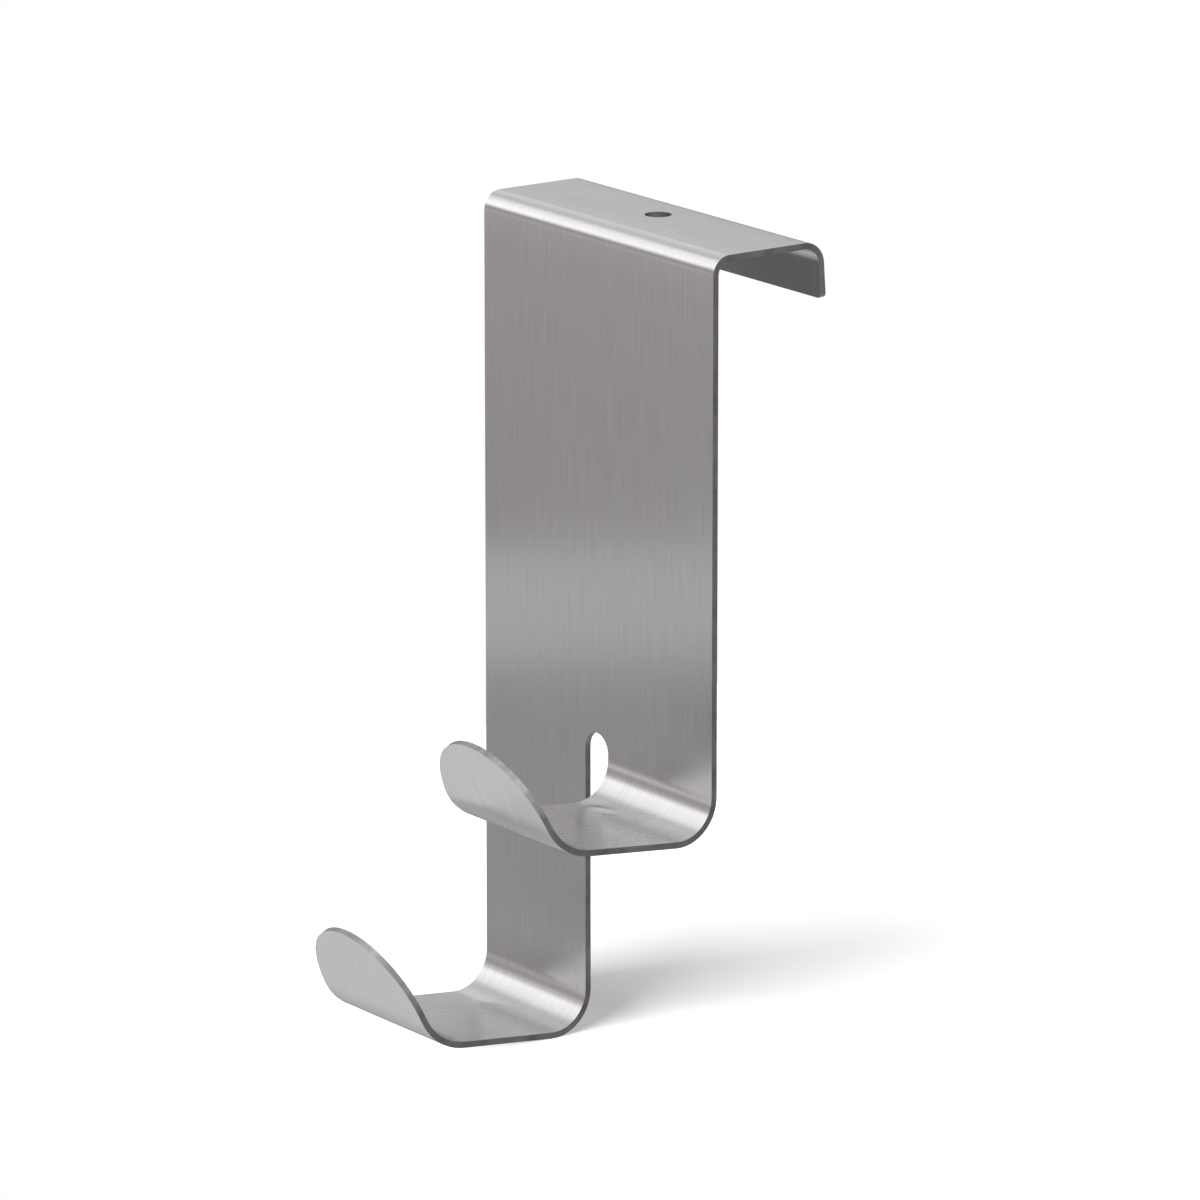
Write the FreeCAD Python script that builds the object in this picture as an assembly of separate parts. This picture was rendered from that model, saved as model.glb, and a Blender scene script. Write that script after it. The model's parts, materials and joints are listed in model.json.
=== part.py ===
import FreeCAD, Part
import math
import os

# Over door hook: one strip of sheet steel, bent to sit on a door's top edge, split into two hooked tongues
# Lengths are in millimetres and angles in degrees
# X runs across the strip, -Y is the side of the hooks, +Z is up
# The origin is the axis of the screw hole at the underside of the top plate

# The strip
strip_width = 60.0
sheet = 1.0

# The channel that sits on the door
door_gap = 19.0
front_bend_radius = 2.0
back_bend_radius = 2.7
leg_reach = 8.0
leg_flare = 4.0
leg_corner_radius = 0.8

# The screw hole in the top plate, set back from the strap's door side
screw_hole_diameter = 4.2
screw_hole_setback = 10.7

# The slot that parts the tongues, its round end measured down from the top plate's underside
slot_width = 6.0
slot_top_drop = 80.0

# The shape both hooks share, on the inside of each bend
hook_bend_radius = 6.0
shelf_rise = 5.5
lip_bend_radius = 8.8
lip_angle = 64.5

# The upper hook, its drop measured from the top plate's underside to the lowest point of its bend
upper_drop = 90.6
upper_shelf_length = 16.4
upper_lip_length = 12.0

# The lower hook, measured the same way
lower_drop = 129.5
lower_shelf_length = 16.8
lower_lip_length = 13.5

# The rounding of the strip's cut edges
edge_radius = 0.2

# Positions that follow from the sizes
strap_middle_y = -screw_hole_setback - sheet / 2
split_z = -slot_top_drop - slot_width / 2


def ahead(heading):
    """Give the unit vector of a heading in the YZ plane, 0 along +Y and 90 along +Z."""
    turn = math.radians(heading)
    return FreeCAD.Vector(0, math.cos(turn), math.sin(turn))


def left_of(heading):
    """Give the unit vector square to a heading, on its left."""
    return ahead(heading + 90)


class SheetPath:
    """A walk along the middle of the sheet that draws both of its faces."""

    def __init__(self, y, z, heading):
        self.spot = FreeCAD.Vector(0, y, z)
        self.heading = heading
        self.faces = {1: [], -1: []}
        self.start_cap = self.cap()

    def cap(self):
        """Draw the cut across the sheet at the spot reached."""
        half = left_of(self.heading) * (sheet / 2)
        return Part.LineSegment(self.spot - half, self.spot + half).toShape()

    def straight(self, length):
        """Walk straight on."""
        start = self.spot
        self.spot = start + ahead(self.heading) * length
        for side, edges in self.faces.items():
            shift = left_of(self.heading) * (side * sheet / 2)
            edges.append(Part.LineSegment(start + shift, self.spot + shift).toShape())

    def bend(self, inner_radius, turn):
        """Walk round a bend, to the left for a positive turn and to the right for a negative one."""
        inside = math.copysign(1, turn)
        middle_radius = inner_radius + sheet / 2
        centre = self.spot + left_of(self.heading) * (inside * middle_radius)
        headings = (self.heading, self.heading + turn / 2, self.heading + turn)
        for side, edges in self.faces.items():
            radius = middle_radius - inside * side * sheet / 2
            points = [centre - left_of(heading) * (inside * radius) for heading in headings]
            edges.append(Part.Arc(*points).toShape())
        self.heading += turn
        self.spot = centre - left_of(self.heading) * (inside * middle_radius)

    def solid(self, x_low, x_high):
        """Close the section walked so far and carry it across from one X to the other."""
        edges = self.faces[1] + self.faces[-1] + [self.start_cap, self.cap()]
        section = Part.Face(Part.Wire(Part.__sortEdges__(edges)))
        section.translate(FreeCAD.Vector(x_low, 0, 0))
        return section.extrude(FreeCAD.Vector(x_high - x_low, 0, 0))


def body():
    """Build the strap above the split, the top plate and the back leg."""
    path = SheetPath(strap_middle_y, split_z, 90)
    path.straight(-front_bend_radius - split_z)
    path.bend(front_bend_radius, -90)
    path.straight(door_gap - front_bend_radius - back_bend_radius)
    path.bend(back_bend_radius, leg_flare - 90)
    path.straight((leg_reach + path.spot.z) / math.cos(math.radians(leg_flare)))
    shape = path.solid(-strip_width / 2, strip_width / 2)
    corners = [edge for edge in shape.Edges if crosses_sheet_at(edge, path.spot)]
    shape = shape.makeFillet(leg_corner_radius, corners)
    slot_start = FreeCAD.Vector(0, strap_middle_y - sheet, split_z)
    slot_end = Part.makeCylinder(slot_width / 2, 2 * sheet, slot_start, FreeCAD.Vector(0, 1, 0))
    return shape.cut(slot_end)


def crosses_sheet_at(edge, spot):
    """Tell the edges that cross the sheet at a spot of the walk from all the others."""
    middle = edge.CenterOfMass
    return math.hypot(middle.y - spot.y, middle.z - spot.z) < 0.01


def tongue(x_low, x_high, drop, shelf_length, lip_length):
    """Build one tongue from the split down, with its hook and the round tip of its lip."""
    path = SheetPath(strap_middle_y, split_z, -90)
    path.straight(split_z + drop - sheet - hook_bend_radius)
    path.bend(hook_bend_radius, -90 - shelf_rise)
    path.straight(shelf_length)
    path.bend(lip_bend_radius, shelf_rise - lip_angle)
    path.straight(lip_length)
    return path.solid(x_low, x_high).cut(tip_cutter(path, x_low, x_high))


def tip_cutter(path, x_low, x_high):
    """Build what is cut off the end of a lip to leave a half round as wide as the tongue."""
    radius = (x_high - x_low) / 2
    along = ahead(path.heading)
    depth = left_of(path.heading) * (2 * sheet)
    across = FreeCAD.Vector(1, 0, 0)
    centre = path.spot - along * radius + across * ((x_low + x_high) / 2) - depth
    beyond = radius + sheet
    arc = Part.Arc(centre + across * radius, centre + along * radius, centre - across * radius).toShape()
    corners = [centre - across * radius, centre - across * beyond, centre - across * beyond + along * beyond]
    corners += [centre + across * beyond + along * beyond, centre + across * beyond, centre + across * radius]
    wire = Part.Wire([arc] + Part.makePolygon(corners).Edges)
    return Part.Face(wire).extrude(depth * 2)


def is_cut_edge(shape, edge):
    """Tell whether an edge is a true corner between two faces, not the seam of a bend."""
    faces = shape.ancestorsOfType(edge, Part.Face)
    middle = edge.valueAt((edge.FirstParameter + edge.LastParameter) / 2)
    normals = [face.normalAt(*face.Surface.parameter(middle)) for face in faces]
    return abs(normals[0].dot(normals[1])) < 0.7


def screw_hole():
    """Build the punch of the screw hole, through the top plate."""
    return Part.makeCylinder(screw_hole_diameter / 2, 3 * sheet, FreeCAD.Vector(0, 0, -sheet))


half_slot = slot_width / 2
half_strip = strip_width / 2
upper = tongue(half_slot, half_strip, upper_drop, upper_shelf_length, upper_lip_length)
lower = tongue(-half_strip, -half_slot, lower_drop, lower_shelf_length, lower_lip_length)
hook = body().fuse([upper, lower]).removeSplitter().Solids[0]

# The cut edges are softened all round, and the hole is punched after that with a sharp rim
hook = hook.makeFillet(edge_radius, [edge for edge in hook.Edges if is_cut_edge(hook, edge)])
hook = hook.cut(screw_hole())

os.makedirs("parts", exist_ok=True)
hook.exportStep("parts/door_hook.step")
print("solids", len(hook.Solids), "valid", hook.isValid(), "volume", round(hook.Volume, 1))
print("box", hook.BoundBox)
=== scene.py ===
"""The looks of a steel hook that hangs over a door's top edge, drawn in metres in the row frame.

X runs across the strip, -Y is the side of the hooks, +Z is up. The strip is one piece: a flat blank is drawn
row by row, each row is carried to its place on the bends, and the sheet then gets its thickness and its
softened edges.
"""

import json
import logging
import math
from dataclasses import dataclass, field
from enum import Enum

import bmesh
import bpy
from mathutils import Matrix, Vector


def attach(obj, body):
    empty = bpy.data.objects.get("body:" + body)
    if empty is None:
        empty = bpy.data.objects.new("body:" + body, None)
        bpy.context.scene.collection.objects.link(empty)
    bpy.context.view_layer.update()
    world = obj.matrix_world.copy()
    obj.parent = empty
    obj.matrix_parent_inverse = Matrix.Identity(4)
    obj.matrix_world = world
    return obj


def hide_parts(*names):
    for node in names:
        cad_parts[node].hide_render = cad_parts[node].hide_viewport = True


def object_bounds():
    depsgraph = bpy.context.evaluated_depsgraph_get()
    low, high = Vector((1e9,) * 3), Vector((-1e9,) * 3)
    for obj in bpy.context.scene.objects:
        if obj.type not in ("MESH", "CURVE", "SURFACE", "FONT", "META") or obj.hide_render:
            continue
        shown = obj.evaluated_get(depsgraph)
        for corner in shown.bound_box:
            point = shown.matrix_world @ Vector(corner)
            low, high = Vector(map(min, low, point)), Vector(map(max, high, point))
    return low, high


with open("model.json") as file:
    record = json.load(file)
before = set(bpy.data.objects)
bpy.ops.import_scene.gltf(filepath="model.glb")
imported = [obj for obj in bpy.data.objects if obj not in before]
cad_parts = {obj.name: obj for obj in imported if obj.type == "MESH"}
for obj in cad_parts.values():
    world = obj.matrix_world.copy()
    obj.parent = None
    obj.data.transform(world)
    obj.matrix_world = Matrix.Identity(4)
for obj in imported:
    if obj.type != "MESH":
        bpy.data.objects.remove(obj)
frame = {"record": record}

CAD_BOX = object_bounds()
LOG = logging.getLogger("door_hook")
MM = 0.001
HALF_UNIT = 0.5
GRAIN_SHARE_OF_WEAR = 0.35
Node = bpy.types.Node
Socket = bpy.types.NodeSocket
Levels = tuple[tuple[float, float], ...]


def mount(name: str) -> dict:
    """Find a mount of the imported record.

    Args:
        name: The mount's name.

    Returns:
        The mount's own entry, with its place, axis and dimensions.
    """
    return next(entry for entry in frame["record"]["mounts"] if entry["name"] == name)


class Hand(Enum):
    """The side of the strip that a tongue lies on, as the sign of its X."""

    UPPER = 1
    LOWER = -1


@dataclass(frozen=True)
class Stretch:
    """One straight run or one bend of the strip, measured along the middle of the sheet.

    Attributes:
        length: The stretch's length, in metres.
        turn: The angle that the sheet turns on it, in radians, positive to the left.
    """

    length: float
    turn: float = 0.0

    def motion(self, run: float) -> Matrix:
        """Carry a row some way along this stretch, in the row's own axes.

        Args:
            run: How far along the stretch, in metres.

        Returns:
            The motion, a slide on a straight run and a turn round the bend's centre on a bend.
        """
        if not self.turn:
            return Matrix.Translation((0, run, 0))
        centre = Matrix.Translation((0, 0, self.length / self.turn))
        turned = Matrix.Rotation(self.turn * run / self.length, 4, "X")
        return centre @ turned @ centre.inverted()


@dataclass
class Channel:
    """The part of the strip that sits on the door: back leg, top plate and the bends beside it.

    Attributes:
        sheet: The sheet's thickness.
        half_width: Half the strip's width.
        strap_back: The Y of the strap's face that lies on the door.
        hole_radius: The screw hole's radius.
        gap: The clear width between the strap and the back bend, for the door.
        front_radius: The inner radius of the bend from top plate to strap.
        back_radius: The inner radius of the bend from leg to top plate.
        leg_reach: How far the leg's end lies below the top plate's underside.
        leg_flare: How far the leg leans away from the door, in radians.
        corner_radius: The rounding of the leg's two corners.
    """

    sheet: float = CAD_BOX[1].z
    half_width: float = CAD_BOX[1].x
    strap_back: float = mount("door_face")["pos_m"][1]
    hole_radius: float = mount("screw_hole")["dims"]["r_mm"] * MM
    gap: float = 19.0 * MM
    front_radius: float = 2.0 * MM
    back_radius: float = 2.7 * MM
    leg_reach: float = 8.0 * MM
    leg_flare: float = math.radians(4.0)
    corner_radius: float = 0.8 * MM

    def bend(self, inner_radius: float, turn: float) -> Stretch:
        """Give a bend of the sheet, to the left for a positive turn.

        Args:
            inner_radius: The radius on the inside of the bend.
            turn: The angle that the sheet turns, in radians.

        Returns:
            The bend, measured along the middle of the sheet.
        """
        return Stretch((inner_radius + self.sheet / 2) * abs(turn), turn)

    def stretches(self) -> list[Stretch]:
        """Give the stretches from the leg's lower end to the top of the strap."""
        bend_end = (self.back_radius + self.sheet / 2) * math.sin(self.leg_flare) - self.back_radius
        return [
            Stretch((self.leg_reach + bend_end) / math.cos(self.leg_flare)),
            self.bend(self.back_radius, math.pi / 2 - self.leg_flare),
            Stretch(self.gap - self.front_radius - self.back_radius),
            self.bend(self.front_radius, math.pi / 2),
        ]

    def start(self) -> Matrix:
        """Give the place and heading of the leg's lower end."""
        heading = Matrix.Rotation(math.pi / 2 + self.leg_flare, 4, "X")
        reached = heading
        for stretch in self.stretches():
            reached = reached @ stretch.motion(stretch.length)
        strap_top = Vector((0, self.strap_back - self.sheet / 2, -self.front_radius))
        return Matrix.Translation(strap_top - reached.translation) @ heading

    def hole_station(self) -> float:
        """Give how far along the strip the screw hole's centre lies."""
        leg, back_bend = self.stretches()[:2]
        return leg.length + back_bend.length + self.strap_back + self.gap - self.back_radius


@dataclass
class Tongue:
    """One half of the strip, from the leg down to the tip of its own hook.

    Attributes:
        hand: The side that the tongue lies on.
        drop: How far the hook's lowest point lies below the top plate's underside.
        shelf_length: The length of the hook's straight shelf.
        lip_length: The length of the lip past its bend, with the round tip.
        channel: The part of the strip above the strap.
        slot_radius: Half the width of the slot between the tongues.
        slot_top: How far the slot's round end lies below the top plate's underside.
        bend_radius: The inner radius of the bend from strap to shelf.
        lip_bend_radius: The inner radius of the bend from shelf to lip.
        lip_angle: How steeply the lip rises, in radians.
        shelf_rise: How far the shelf rises to the front, in radians.
        columns: The number of faces across the tongue.
        bend_step: The angle between two rows on a bend or a round edge.
        straight_step: The longest distance between two rows on a straight run.
    """

    hand: Hand
    drop: float
    shelf_length: float
    lip_length: float
    channel: Channel
    slot_radius: float = 3.0 * MM
    slot_top: float = 80.0 * MM
    bend_radius: float = 6.0 * MM
    lip_bend_radius: float = 8.8 * MM
    lip_angle: float = math.radians(64.5)
    shelf_rise: float = math.asin(mount("upper_seat")["axis"][1])
    columns: int = 14
    bend_step: float = math.radians(5.0)
    straight_step: float = 5.0 * MM

    def stretches(self) -> list[Stretch]:
        """Give all stretches of this half, from the leg's lower end to the tip."""
        channel = self.channel
        strap = self.drop - channel.sheet - self.bend_radius - channel.front_radius
        return channel.stretches() + [
            Stretch(strap),
            channel.bend(self.bend_radius, -math.pi / 2 - self.shelf_rise),
            Stretch(self.shelf_length),
            channel.bend(self.lip_bend_radius, self.shelf_rise - self.lip_angle),
            Stretch(self.lip_length),
        ]

    def length(self) -> float:
        """Give the developed length of this half."""
        return sum(stretch.length for stretch in self.stretches())

    def slot_station(self) -> float:
        """Give how far along the strip the centre of the slot's round end lies."""
        above = sum(stretch.length for stretch in self.channel.stretches())
        return above + self.slot_top + self.slot_radius - self.channel.front_radius

    def tip_radius(self) -> float:
        """Give the radius of the half round tip, half the tongue's width."""
        return (self.channel.half_width - self.slot_radius) / 2

    def limits(self, along: float) -> tuple[float, float]:
        """Give where the blank's inner and outer edges lie.

        Args:
            along: How far along the strip, from the leg's lower end.

        Returns:
            The distances of both edges from the strip's centre line.
        """
        channel = self.channel
        inner = _round_end(self.slot_radius, self.slot_station() - along)
        inner = max(inner, _chord(channel.hole_radius, along - channel.hole_station()))
        corner = channel.corner_radius
        outer = channel.half_width - corner + _round_end(corner, corner - along)
        radius = self.tip_radius()
        past = along + radius - self.length()
        if past <= 0:
            return inner, outer
        centre = self.slot_radius + radius
        return centre - _chord(radius, past), centre + _chord(radius, past)

    def stations(self) -> list[float]:
        """Give the rows of the blank, close where it bends and where an edge is round.

        Returns:
            The rows' distances along the strip, in order.
        """
        rows = [0.0]
        for stretch in self.stretches():
            steps = math.ceil(max(abs(stretch.turn) / self.bend_step, stretch.length / self.straight_step))
            rows += [rows[-1] + stretch.length * (step + 1) / steps for step in range(steps)]
        tip = self.length() - self.tip_radius()
        rows = [row for row in rows if row <= tip]
        for step in range(int(math.pi / 2 / self.bend_step) + 1):
            lean = step * self.bend_step
            hole = self.channel.hole_radius * math.cos(lean)
            rows += [self.channel.hole_station() - hole, self.channel.hole_station() + hole]
            rows.append(self.slot_station() - self.slot_radius * math.cos(lean))
            rows.append(self.channel.corner_radius * (1 - math.cos(lean)))
            rows.append(tip + self.tip_radius() * math.sin(lean))
        return _thinned(sorted(rows))

    def place(self, along: float) -> Matrix:
        """Give the place of a row on the bent strip.

        Args:
            along: How far along the strip, from the leg's lower end.

        Returns:
            The row's own axes: X across the strip, Y onwards along it and Z off its left face.
        """
        spot = self.channel.start()
        for stretch in self.stretches():
            run = min(along, stretch.length)
            spot = spot @ stretch.motion(run)
            along -= run
        return spot

    def draw(self, mesh: bmesh.types.BMesh, uv: bmesh.types.BMLayerItem) -> None:
        """Add this half's middle surface to a mesh, with its flat layout as its UV map.

        Args:
            mesh: The mesh that both halves share.
            uv: The UV layer, filled with the distances across and along the flat blank.
        """
        rows = self.stations()
        made = bmesh.ops.create_grid(
            mesh, x_segments=self.columns, y_segments=len(rows) - 1, size=HALF_UNIT)
        verts = sorted(made["verts"], key=lambda vert: vert.co.y)
        count = self.columns + 1
        along_of = {}
        for number, along in enumerate(rows):
            row = verts[number * count:(number + 1) * count]
            inner, outer = self.limits(along)
            across = Matrix.Diagonal((self.hand.value * (outer - inner), 0, 0, 1))
            middle = Matrix.Translation((self.hand.value * (inner + outer) / 2, 0, 0))
            bmesh.ops.transform(mesh, matrix=self.place(along) @ middle @ across, verts=row)
            along_of.update({vert: along for vert in row})
        for face in {face for vert in verts for face in vert.link_faces}:
            for loop in face.loops:
                loop[uv].uv = (loop.vert.co.x, along_of[loop.vert])


def _round_end(radius: float, short: float) -> float:
    """Give the half width of a slot or tip at its round end, and its full radius past it.

    Args:
        radius: The round end's radius.
        short: How far the row falls short of the round end's centre, negative past it.

    Returns:
        The half width, zero before the round end starts.
    """
    return _chord(radius, max(short, 0.0))


def _chord(radius: float, offset: float) -> float:
    """Give half the chord of a circle at an offset from its centre, zero outside it."""
    return math.sqrt(max(radius * radius - offset * offset, 0.0))


def _thinned(rows: list[float], least: float = 0.005 * MM) -> list[float]:
    """Drop each row that lies on the one before it.

    Args:
        rows: The rows' distances, in order.
        least: The least distance that two rows keep.

    Returns:
        The rows that are left, with the first and the last among them.
    """
    kept = rows[:1]
    for row in rows[1:]:
        if row - kept[-1] > least:
            kept.append(row)
    kept[-1] = rows[-1]
    return kept


class Board:
    """A node tree with short calls to add nodes and to link them."""

    def __init__(self, tree: bpy.types.NodeTree) -> None:
        """Empty a tree and work on it."""
        self.tree = tree
        tree.nodes.clear()

    def add(self, kind: str, values: dict | None = None, **settings: object) -> Node:
        """Add a node.

        Args:
            kind: The node's type name.
            values: Values or source sockets, by the name or number of the input they go to.
            settings: Attributes of the node itself.

        Returns:
            The new node.
        """
        node = self.tree.nodes.new(kind)
        for name, value in settings.items():
            setattr(node, name, value)
        for key, value in (values or {}).items():
            if isinstance(value, Socket):
                self.tree.links.new(value, node.inputs[key])
            else:
                node.inputs[key].default_value = value
        return node

    def math(self, operation: str, *values: object) -> Socket:
        """Add a Math node.

        Args:
            operation: The node's operation.
            values: Its inputs in order, numbers or source sockets.

        Returns:
            Its result.
        """
        return self.add("ShaderNodeMath", dict(enumerate(values)), operation=operation).outputs[0]

    def ranged(self, value: Socket, low: float, high: float) -> Socket:
        """Map a mask from 0 and 1 to two other values.

        Args:
            value: The mask.
            low: What 0 becomes.
            high: What 1 becomes.

        Returns:
            The mapped value.
        """
        node = self.add("ShaderNodeMapRange", {"Value": value, "To Min": low, "To Max": high})
        return node.outputs["Result"]


def new_group(name: str, inputs: dict[str, float], outputs: list[str]) -> tuple[Board, Node, Node]:
    """Start a shader node group with number inputs and outputs.

    Args:
        name: The group's name.
        inputs: The inputs' names and starting values.
        outputs: The outputs' names.

    Returns:
        The group's board, its input node and its output node.
    """
    tree = bpy.data.node_groups.new(name, "ShaderNodeTree")
    board = Board(tree)
    for label, value in inputs.items():
        tree.interface.new_socket(label, in_out="INPUT", socket_type="NodeSocketFloat").default_value = value
    for label in outputs:
        tree.interface.new_socket(label, in_out="OUTPUT", socket_type="NodeSocketFloat")
    return board, board.add("NodeGroupInput"), board.add("NodeGroupOutput")


def brushed_grain_group() -> bpy.types.NodeTree:
    """Build the fine scratches that a belt leaves along the strip.

    Returns:
        A group that gives a mask of the scratches and one of broader streaks, both from 0 to 1.
    """
    board, given, out = new_group("brushed grain", {"Across": 1800.0, "Along": 70.0}, ["Lines", "Streak"])
    place = board.add("ShaderNodeTexCoord").outputs["Object"]
    for label, share, detail in (("Lines", 1.0, 1.0), ("Streak", 0.12, 2.0)):
        across = board.math("MULTIPLY", given.outputs["Across"], share)
        along = board.math("MULTIPLY", given.outputs["Along"], math.sqrt(share))
        scale = board.add("ShaderNodeCombineXYZ", {0: across, 1: along, 2: along}).outputs[0]
        scaled = board.add("ShaderNodeVectorMath", {0: place, 1: scale}, operation="MULTIPLY").outputs[0]
        noise = board.add("ShaderNodeTexNoise", {"Vector": scaled, "Scale": 1.0, "Detail": detail})
        board.tree.links.new(noise.outputs["Fac"], out.inputs[label])
    return board.tree


def handling_group() -> bpy.types.NodeTree:
    """Build the faint cloudy marks that handling and wiping leave on bare steel.

    Returns:
        A group that gives one mask from 0 to 1.
    """
    board, given, out = new_group("handling marks", {"Size": 45.0}, ["Mask"])
    place = board.add("ShaderNodeTexCoord").outputs["Object"]
    noise = board.add("ShaderNodeTexNoise", {"Vector": place, "Scale": given.outputs["Size"], "Detail": 3.0,
                                             "Distortion": 0.6})
    board.tree.links.new(noise.outputs["Fac"], out.inputs["Mask"])
    return board.tree


@dataclass(frozen=True)
class Steel:
    """A bare steel finish with a grain along the strip.

    Attributes:
        name: The material's name.
        light: The colour between the scratches.
        dark: The colour in the scratches.
        smooth: The roughness where the steel is least worn.
        rough: The roughness where it is most worn.
        across: How close the scratches lie, per metre across the strip.
        along: How often they change, per metre along it.
        anisotropy: How far the scratches stretch a highlight.
    """

    name: str
    light: tuple[float, float, float, float]
    dark: tuple[float, float, float, float]
    smooth: float
    rough: float
    across: float
    along: float
    anisotropy: float

    def material(self, grain: bpy.types.NodeTree, marks: bpy.types.NodeTree) -> bpy.types.Material:
        """Build the finish.

        Args:
            grain: The brushed grain group.
            marks: The handling marks group.

        Returns:
            The material.
        """
        made = bpy.data.materials.new(self.name)
        made.use_nodes = True
        board = Board(made.node_tree)
        lines = board.add("ShaderNodeGroup", node_tree=grain)
        lines.inputs["Across"].default_value = self.across
        lines.inputs["Along"].default_value = self.along
        cloud = board.add("ShaderNodeGroup", node_tree=marks)
        tone = board.add("ShaderNodeMix", {"Factor": lines.outputs["Lines"], "A": self.dark, "B": self.light},
                         data_type="RGBA")
        worn = board.math("MULTIPLY_ADD", lines.outputs["Streak"], GRAIN_SHARE_OF_WEAR,
                          board.math("MULTIPLY", cloud.outputs["Mask"], 1.0 - GRAIN_SHARE_OF_WEAR))
        tangent = board.add("ShaderNodeTangent", direction_type="UV_MAP", uv_map="blank")
        shader = board.add("ShaderNodeBsdfPrincipled", {
            "Base Color": tone.outputs["Result"], "Metallic": 1.0, "Anisotropic": self.anisotropy,
            "Roughness": board.ranged(worn, self.smooth, self.rough), "Tangent": tangent.outputs["Tangent"]})
        board.add("ShaderNodeOutputMaterial", {"Surface": shader.outputs[0]})
        return made


SHEET_FACE = Steel("brushed sheet", light=(0.6, 0.595, 0.595, 1), dark=(0.51, 0.505, 0.505, 1),
                   smooth=0.24, rough=0.3, across=2000.0, along=90.0, anisotropy=0.8)
CUT_EDGE = Steel("blanked edge", light=(0.45, 0.435, 0.435, 1), dark=(0.18, 0.17, 0.17, 1),
                 smooth=0.35, rough=0.5, across=900.0, along=400.0, anisotropy=0.0)


@dataclass
class DoorHook:
    """The whole strip as one finished piece.

    Attributes:
        channel: The part of the strip that sits on the door.
        edge_radius: The rounding of the cut edges.
        edge_segments: The number of faces across that rounding.
        sharp_angle: The least angle between two faces whose edge is rounded, in radians.
        seam_gap: How far apart two points of the centre line may lie to be merged.
    """

    channel: Channel = field(default_factory=Channel)
    edge_radius: float = 0.2 * MM
    edge_segments: int = 3
    sharp_angle: float = math.radians(40)
    seam_gap: float = 0.002 * MM

    def tongues(self) -> list[Tongue]:
        """Give both halves of the strip."""
        return [
            Tongue(Hand.UPPER, drop=90.6 * MM, shelf_length=16.4 * MM, lip_length=12.0 * MM,
                   channel=self.channel),
            Tongue(Hand.LOWER, drop=-CAD_BOX[0].z, shelf_length=16.8 * MM, lip_length=13.5 * MM,
                   channel=self.channel),
        ]

    def sheet(self) -> bpy.types.Object:
        """Draw the strip's middle surface, both halves joined along the centre line.

        Returns:
            The object, linked to the scene, with no thickness yet.
        """
        mesh = bmesh.new()
        uv = mesh.loops.layers.uv.new("blank")
        for tongue in self.tongues():
            tongue.draw(mesh, uv)
        bmesh.ops.remove_doubles(mesh, verts=mesh.verts, dist=self.seam_gap)
        bmesh.ops.recalc_face_normals(mesh, faces=mesh.faces)
        for face in mesh.faces:
            face.smooth = True
        data = bpy.data.meshes.new("hook_strip")
        mesh.to_mesh(data)
        mesh.free()
        made = bpy.data.objects.new("hook_strip", data)
        bpy.context.scene.collection.objects.link(made)
        return made

    def finish(self, strip: bpy.types.Object) -> None:
        """Give the sheet its thickness, its softened edges and its finishes.

        Args:
            strip: The strip's middle surface.
        """
        grain, marks = brushed_grain_group(), handling_group()
        strip.data.materials.append(SHEET_FACE.material(grain, marks))
        strip.data.materials.append(CUT_EDGE.material(grain, marks))
        wall = strip.modifiers.new("thickness", "SOLIDIFY")
        wall.thickness = self.channel.sheet
        wall.offset = 0.0
        wall.use_even_offset = True
        wall.material_offset_rim = 1
        edge = strip.modifiers.new("softened edges", "BEVEL")
        edge.width = self.edge_radius
        edge.segments = self.edge_segments
        edge.limit_method = "ANGLE"
        edge.angle_limit = self.sharp_angle
        edge.harden_normals = True

    def build(self) -> bpy.types.Object:
        """Build the finished piece in place of the CAD node.

        Returns:
            The piece, riding on the part's one body.
        """
        strip = self.sheet()
        self.finish(strip)
        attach(strip, "root")
        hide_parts("door_hook")
        return strip


@dataclass(frozen=True)
class SoftBox:
    """A rectangular studio lamp or bounce card that points at a spot.

    Attributes:
        name: The lamp's name.
        place: The lamp's centre.
        width: Its width.
        height: Its height.
        power: Its power, in watts.
        aim: The spot that it points at.
        lights_floor: Whether it lights the floor and not the steel, or the steel and not the floor.
    """

    name: str
    place: tuple[float, float, float]
    width: float
    height: float
    power: float
    aim: tuple[float, float, float] = (0.0, -0.02, -0.06)
    lights_floor: bool = False

    def build(self) -> None:
        """Hang the lamp out of the camera's sight, for the steel or for the floor."""
        lamp = bpy.data.lights.new(self.name, "AREA")
        lamp.shape = "RECTANGLE"
        lamp.size = self.width
        lamp.size_y = self.height
        lamp.energy = self.power
        made = bpy.data.objects.new(self.name, lamp)
        made.location = self.place
        made.rotation_euler = (Vector(self.aim) - made.location).to_track_quat("-Z", "Y").to_euler()
        made.visible_camera = False
        made.visible_diffuse = self.lights_floor
        made.visible_glossy = not self.lights_floor
        bpy.context.scene.collection.objects.link(made)


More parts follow.
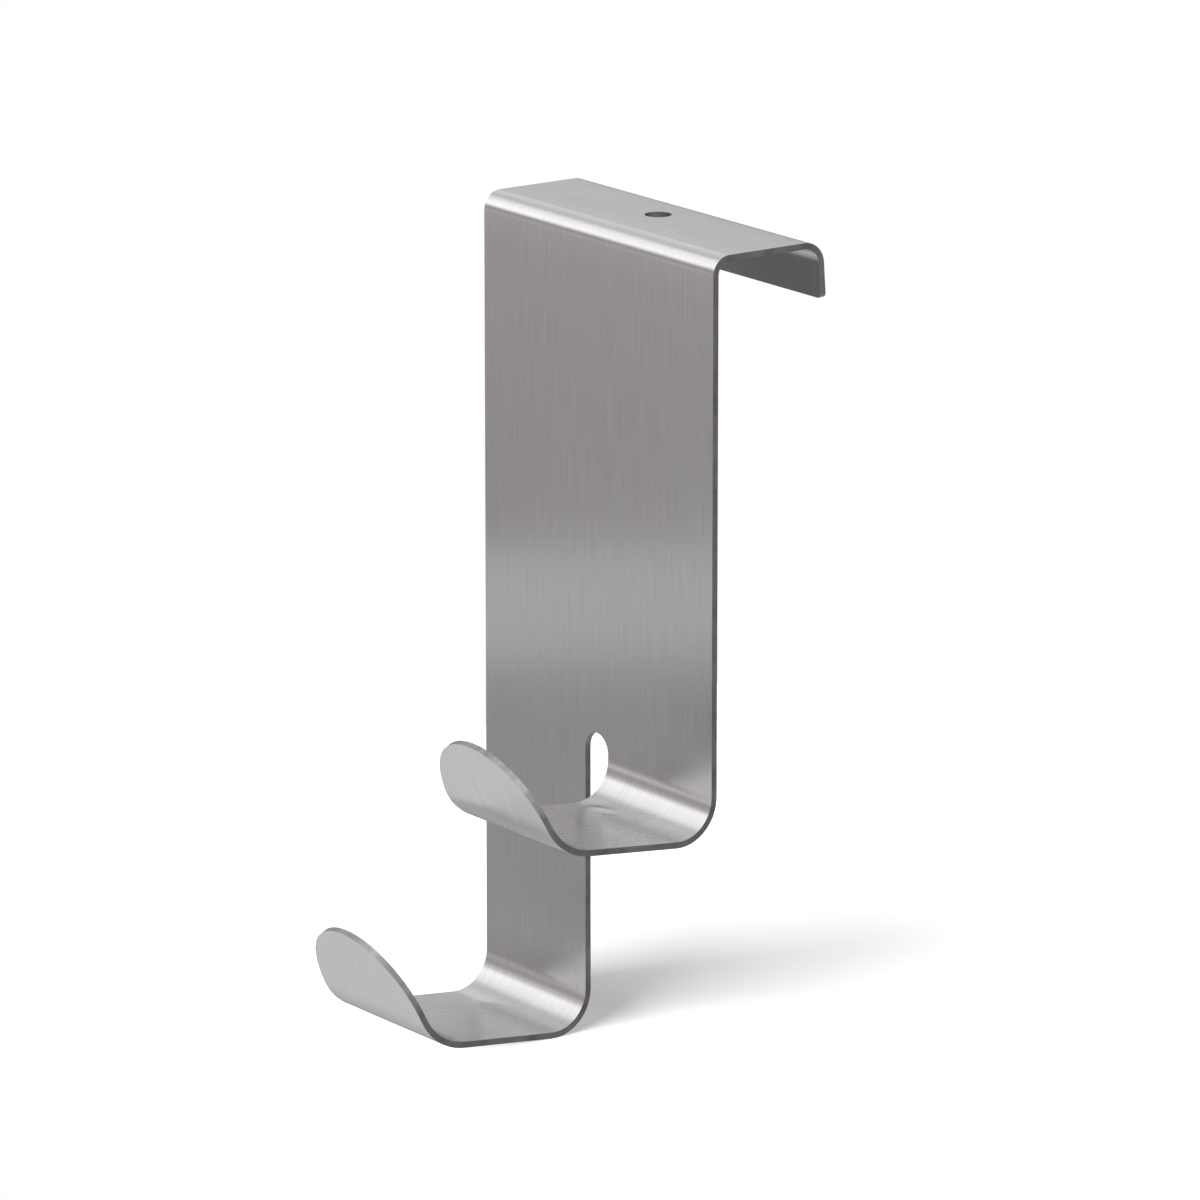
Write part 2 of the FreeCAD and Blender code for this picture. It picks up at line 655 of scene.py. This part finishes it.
@dataclass
class Studio:
    """The pale floor, the room round it and the lamps.

    Attributes:
        floor_low: The floor's corner with the lowest X and Y.
        floor_high: The floor's corner with the highest X and Y.
        paper: How white the floor's paper is.
        paper_roughness: The paper's roughness.
        paper_lift: The painted glow that only the camera sees on the paper, below the screw hole.
        lift_per_metre: How much that painted glow grows with the distance to the front or the back.
        front_lift_per_metre: How much more it grows in front of the strap, where it keeps the floor clear of
            shade.
        front_lift_start: The Y where that begins, just in front of the strap.
        room_ahead: The room straight ahead as the steel shows it, pairs of a height and its brightness.
        room_zones: The zones that follow on the way to the back, each with the Y of the directions between
            which it begins, and its own pairs.
        warmth: The tint of the room between the warm levels.
        warm_levels: The heights between which the room is tinted.
        fill: The room's brightness on everything that isn't steel.
        lamps: The lamps and the bounce card.
    """

    floor_low: tuple[float, float] = (-0.16, -0.12)
    floor_high: tuple[float, float] = (0.13, 0.2)
    paper: float = 0.88
    paper_roughness: float = 0.9
    paper_lift: float = 0.1
    lift_per_metre: float = 5.3
    front_lift_per_metre: float = 25.0
    front_lift_start: float = -12.2 * MM
    room_ahead: Levels = ((-0.6, 1.1), (-0.3, 0.6), (0.1, 0.5), (0.35, 0.35))
    room_zones: tuple[tuple[float, float, Levels], ...] = (
        (-0.7, -0.62, ((-0.6, 1.1), (-0.42, 1.3), (-0.26, 0.28), (-0.19, 0.6), (-0.12, 0.8), (0.06, 0.5),
                       (0.2, 1.0), (0.35, 1.15), (0.55, 0.35))),
        (-0.5, 0.5, ((-0.55, 0.45), (-0.42, 0.12), (0.1, 0.2), (0.25, 0.7), (0.45, 1.2))),
        (0.61, 0.7, ((-0.5, 0.5), (0.0, 0.34), (0.25, 0.7), (0.45, 0.9))),
    )
    warmth: tuple[float, float, float] = (1.0, 0.92, 0.945)
    warm_levels: tuple[float, float] = (-0.3, 0.22)
    fill: float = 0.45
    lamps: tuple[SoftBox, ...] = (
        SoftBox("front soft box", place=(0.3, -0.62, 0.85), width=2.0, height=1.7, power=12.5),
        SoftBox("left soft box", place=(-0.74, -0.44, 0.52), width=0.5, height=0.76, power=1.4),
        SoftBox("front bounce card", place=(-0.115, -0.09, -0.096), width=0.25, height=0.02, power=0.004,
                aim=(0.0, -0.012, -0.061)),
        SoftBox("floor soft box", place=(0.17, -0.95, 0.4), width=0.9, height=0.5, power=22.6,
                lights_floor=True),
    )

    def floor(self) -> bpy.types.Object:
        """Lay the floor under the object's lowest point.

        Returns:
            The floor.
        """
        mesh = bmesh.new()
        low, high = (Vector((*corner, CAD_BOX[0].z)) for corner in (self.floor_low, self.floor_high))
        bmesh.ops.create_grid(mesh, x_segments=1, y_segments=1, size=HALF_UNIT)
        bmesh.ops.scale(mesh, vec=(*(high - low).xy, 1), verts=mesh.verts)
        bmesh.ops.translate(mesh, vec=(low + high) / 2, verts=mesh.verts)
        data = bpy.data.meshes.new("floor")
        mesh.to_mesh(data)
        mesh.free()
        data.materials.append(self.paper_with_painted_glow())
        made = bpy.data.objects.new("floor", data)
        bpy.context.scene.collection.objects.link(made)
        made.visible_glossy = False
        return made

    def paper_with_painted_glow(self) -> bpy.types.Material:
        """Build the floor's white paper, with a camera-only painted glow that grows away from the strap to
        fade the shadow.

        Returns:
            The material.
        """
        made = bpy.data.materials.new("studio paper")
        made.use_nodes = True
        board = Board(made.node_tree)
        place = board.add("ShaderNodeSeparateXYZ", {0: board.add("ShaderNodeTexCoord").outputs["Object"]})
        # Painted glow: the camera alone sees the paper whiter the farther it lies from the strap, and more so
        # in front of it.
        away = board.math("ABSOLUTE", place.outputs["Y"])
        behind = board.math("MULTIPLY_ADD", away, self.lift_per_metre, self.paper_lift)
        before = board.math("SUBTRACT", self.front_lift_start, place.outputs["Y"])
        before = board.math("MAXIMUM", before, 0.0)
        painted_glow = board.math("MULTIPLY_ADD", before, self.front_lift_per_metre, behind)
        painted_glow = board.math("MULTIPLY", board.add("ShaderNodeLightPath").outputs["Is Camera Ray"], painted_glow)
        shader = board.add("ShaderNodeBsdfPrincipled", {
            "Base Color": (self.paper, self.paper, self.paper, 1), "Roughness": self.paper_roughness,
            "Specular IOR Level": 0.0, "Emission Color": (1, 1, 1, 1), "Emission Strength": painted_glow})
        board.add("ShaderNodeOutputMaterial", {"Surface": shader.outputs[0]})
        return made

    def levels(self, board: Board, height: Socket, stops: Levels) -> Socket:
        """Grade the room's brightness by height.

        Args:
            board: The world's board.
            height: The Z of the direction, from -1 to 1.
            stops: Pairs of a height and its brightness, from low to high.

        Returns:
            The graded colour.
        """
        place = board.add("ShaderNodeMapRange", {"Value": height, "From Min": -1.0, "From Max": 1.0})
        ramp = board.add("ShaderNodeValToRGB", {"Fac": place.outputs[0]})
        ramp.color_ramp.interpolation = "EASE"
        points = ramp.color_ramp.elements
        low, high = self.warm_levels
        for number, (level, light) in enumerate(stops):
            position = (level + 1) / 2
            spot = points[number] if number < len(points) else points.new(position)
            spot.position = position
            tint = self.warmth if low < level < high else (1.0, 1.0, 1.0)
            spot.color = (*(light * share for share in tint), 1)
        return ramp.outputs["Color"]

    def room(self) -> None:
        """Light the room: white where it is seen, and graded where the steel shows it."""
        world = bpy.data.worlds.new("studio room")
        world.use_nodes = True
        bpy.context.scene.world = world
        board = Board(world.node_tree)
        path = board.add("ShaderNodeLightPath")
        way = board.add("ShaderNodeSeparateXYZ", {0: board.add("ShaderNodeTexCoord").outputs["Generated"]})
        graded = self.levels(board, way.outputs[2], self.room_ahead)
        for start, end, stops in self.room_zones:
            begun = board.add("ShaderNodeMapRange", {
                "Value": way.outputs[1], "From Min": start, "From Max": end})
            graded = board.add("ShaderNodeMix", {
                "Factor": begun.outputs[0], "A": graded, "B": self.levels(board, way.outputs[2], stops)},
                data_type="RGBA").outputs["Result"]
        metal = board.math("MAXIMUM", path.outputs["Is Glossy Ray"], path.outputs["Is Transmission Ray"])
        seen = board.add("ShaderNodeMix", {
            "Factor": metal, "A": (self.fill, self.fill, self.fill, 1), "B": graded}, data_type="RGBA")
        glow = board.add("ShaderNodeMix", {
            "Factor": path.outputs["Is Camera Ray"], "A": seen.outputs["Result"], "B": (1, 1, 1, 1)},
            data_type="RGBA")
        light = board.add("ShaderNodeBackground", {"Color": glow.outputs["Result"], "Strength": 1.0})
        board.add("ShaderNodeOutputWorld", {"Surface": light.outputs[0]})

    def build(self) -> None:
        """Build the floor, the room and the lamps."""
        self.floor()
        self.room()
        for lamp in self.lamps:
            lamp.build()


@dataclass
class PhotoCamera:
    """The camera at the photograph's angle.

    Attributes:
        azimuth: The camera's turn from the front to the right, in radians.
        elevation: Its height above the level, in radians.
        distance: How far it stands from the spot that it looks at.
        lens: Its focal length, in millimetres.
        aim: The spot that it looks at.
        clip: The nearest and the farthest distance that it draws.
    """

    azimuth: float = math.radians(54.125)
    elevation: float = math.radians(14.564)
    distance: float = 1.2987
    lens: float = 251.1
    aim: Vector = field(default_factory=lambda: Vector((0.225, -11.232, -58.646)) * MM)
    clip: tuple[float, float] = (0.05, 50.0)

    def build(self) -> None:
        """Place the camera and make it the scene's own."""
        level = math.cos(self.elevation)
        height = math.sin(self.elevation)
        back = Vector((math.sin(self.azimuth) * level, -math.cos(self.azimuth) * level, height))
        data = bpy.data.cameras.new("camera")
        data.lens = self.lens
        data.clip_start, data.clip_end = self.clip
        made = bpy.data.objects.new("camera", data)
        made.location = self.aim + back * self.distance
        made.rotation_euler = (-back).to_track_quat("-Z", "Y").to_euler()
        bpy.context.scene.collection.objects.link(made)
        bpy.context.scene.camera = made


def main() -> None:
    """Build the hook, the studio and the camera, and report each piece."""
    logging.basicConfig(level=logging.INFO)
    bpy.context.scene.view_settings.view_transform = "Standard"
    camera = PhotoCamera()
    strip = DoorHook().build()
    LOG.info("%s: %d faces before its thickness", strip.name, len(strip.data.polygons))
    Studio().build()
    LOG.info("studio: floor, room and lamps")
    camera.build()
    LOG.info("camera: %.1f mm lens", camera.lens)


if __name__ == "__main__":
    main()
